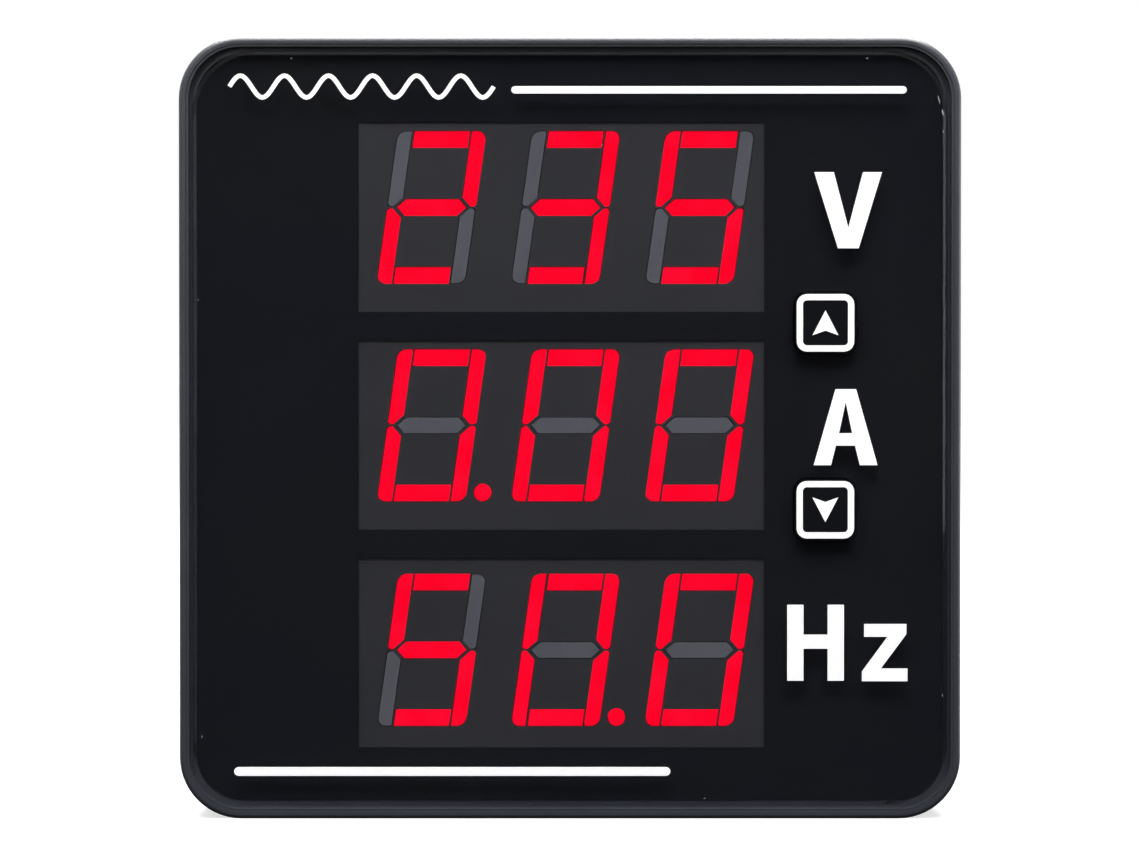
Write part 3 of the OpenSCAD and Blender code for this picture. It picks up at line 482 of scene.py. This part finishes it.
# Epoxy filled with white pigment, unlit: a paler grey that shows each figure's empty segments.
dress(moulded("epoxy_milky", "#77797e", "#7c7e83", 0.4, 0.4, 0.002),
      "top_dark_segments", "middle_dark_segments", "bottom_dark_segments")
dress(glowing_epoxy(), "top_lit_segments", "middle_lit_segments", "bottom_lit_segments")

# ---------------------------------------------------------------------------------------------
# Switches, boards and what they carry. They sit in the case and show only through the vents:
# green solder mask on glass-fibre boards, tinned pins, black chips and zinc-plated screws.


STREAK_MM = 0.3     # real rolling marks are under 0.1 mm wide, too fine to show


def metal(name, colour, roughness):
    """Plated or drawn metal: a soft mirror that fine streaks break up."""
    made = material(name)
    tree = made.node_tree
    where = add(tree, "ShaderNodeTexCoord").outputs["Object"]
    stretched = add(tree, "ShaderNodeMapping", {"Vector": where, "Scale": (1.0, 0.15, 1.0)})
    noise = add(tree, "ShaderNodeTexNoise", {
        "Vector": stretched.outputs[0], "Scale": 1 / (STREAK_MM * MM), "Detail": 3.0})
    rough = add(tree, "ShaderNodeMapRange", {
        "Value": noise.outputs["Fac"], "To Min": roughness * 0.7, "To Max": roughness * 1.3})
    skin = add(tree, "ShaderNodeBsdfPrincipled", {
        "Base Color": linear(colour), "Metallic": 1.0, "Roughness": rough.outputs["Result"]})
    add(tree, "ShaderNodeOutputMaterial", {"Surface": skin.outputs[0]})
    return made


# Bright tin, a little warm.
dress(metal("tin_plate", "#c8c8c2", 0.25),
      "display_pins", "board_header", "up_switch", "down_switch")
# Clear-passivated zinc: colder, darker and duller than the tin.
zinc = metal("zinc_plate", "#92969a", 0.36)
dress(zinc, "display_board_screws", "rear_cover_screws")
# Green solder mask over glass fibre: a wet shine over an uneven weave.
dress(moulded("fr4_solder_mask", "#174a30", "#1e5a3b", 0.3, 0.5, 0.01),
      "display_board", "main_board")
# Epoxy filled with silica: charcoal, close to matt, with a fine grain.
dress(moulded("epoxy_chip", "#232427", "#2a2b2e", 0.5, 0.15, 0.004),
      "display_chips", "bridge_rectifier", "voltage_regulator")
# Black nylon with a dull, slippery sheen.
dress(moulded("nylon_plunger", "#202124", "#27282b", 0.5), "up_plunger", "down_plunger")

# ---------------------------------------------------------------------------------------------
# Transformers and larger parts on the main board: a stack of steel laminations, an enamelled
# copper winding on a cream bobbin, a blue potted current transformer and sleeved capacitors.


WAVE_PERIOD = 0.314     # metres from band to band in a wave texture whose scale is 1
GROOVE = 0.1 * MM


def layered(name, dark, light, pitch_mm, axis, roughness):
    """Metal in layers of one pitch along an axis, each with a groove beside it that is drawn as a
    bump and painted darker.
    """
    made = material(name)
    tree = made.node_tree
    where = add(tree, "ShaderNodeTexCoord").outputs["Object"]
    bands = add(tree, "ShaderNodeTexWave", {
        "Vector": where, "Scale": WAVE_PERIOD / (pitch_mm * MM), "Distortion": 0.4},
        wave_type="BANDS", bands_direction=axis, wave_profile="SIN").outputs["Fac"]
    colour = add(tree, "ShaderNodeValToRGB", {"Fac": bands}, stops=[(0.1, dark), (0.6, light)])
    bump = add(tree, "ShaderNodeBump", {"Height": bands, "Distance": GROOVE, "Strength": 0.8})
    skin = add(tree, "ShaderNodeBsdfPrincipled", {
        "Base Color": colour.outputs["Color"], "Metallic": 1.0, "Roughness": roughness,
        "Normal": bump.outputs[0]})
    add(tree, "ShaderNodeOutputMaterial", {"Surface": skin.outputs[0]})
    return made


# Silicon steel sheets 0.5 mm thick: grey edges in a dark stack.
dress(layered("silicon_steel_laminations", "#4a4c50", "#9a9da2", 0.5, "Y", 0.4),
      "transformer_core")
# Copper wire under clear enamel: bright turns, with painted shade that darkens the gaps between
# them to brown. The real wire is about 0.15 mm thick, and is drawn at 0.45 mm so that its turns
# show.
dress(layered("enamelled_copper_turns", "#6d3512", "#c9803f", 0.45, "Z", 0.3),
      "transformer_winding")
# Natural nylon: cream and waxy.
dress(moulded("nylon_bobbin", "#dcd7c6", "#e6e2d4", 0.45), "transformer_bobbin")
# Blue potting resin in its shell, with a wet shine.
dress(moulded("potting_blue", "#234680", "#2c5496", 0.3), "current_transformer")
# Shrunk PVC sleeve: a darker blue, the glossiest thing on the board.
dress(moulded("pvc_sleeve", "#22336a", "#2b3f7c", 0.2), "filter_capacitors")
# Dipped lacquer: a paler blue than the resin.
dress(moulded("lacquer_blue", "#2a579c", "#3465ad", 0.25), "varistor")

# ---------------------------------------------------------------------------------------------
# Housing, rear cover and clips. Both shells are moulded in black flame-retardant ABS, and four
# screws hold the cover on. The nylon clips slide on the housing's sides and are smoother.

# A coarse grain in black ABS: nearly matt, which parts the case from the shinier bezel.
dress(moulded("abs_housing", "#191a1d", "#1e2023", 0.55, 0.35, 0.008, 1.3),
      "housing", "rear_cover")
# Black nylon: a shade paler and smoother than the case it slides on.
dress(moulded("nylon_clip", "#222427", "#27292c", 0.45, 0.5, 0.003, 1.4),
      "left_clip", "right_clip")

# ---------------------------------------------------------------------------------------------
# Terminals. A glossy black PBT block with brass contacts. Each way has a zinc-plated screw
# that lifts its square clamp washer as it turns.

# Black PBT: a clean gloss on the fins and the floor.
dress(moulded("pbt_block", "#1b1c1f", "#202124", 0.35, 0.3, 0.003, 1.4), "terminal_block")
# Bare brass, yellow under the grey washers.
dress(metal("brass_contact", "#c9a24a", 0.28), "terminal_contacts")
for k in range(1, 7):
    dress(zinc, f"terminal_clamp_{k}", f"terminal_screw_{k}")
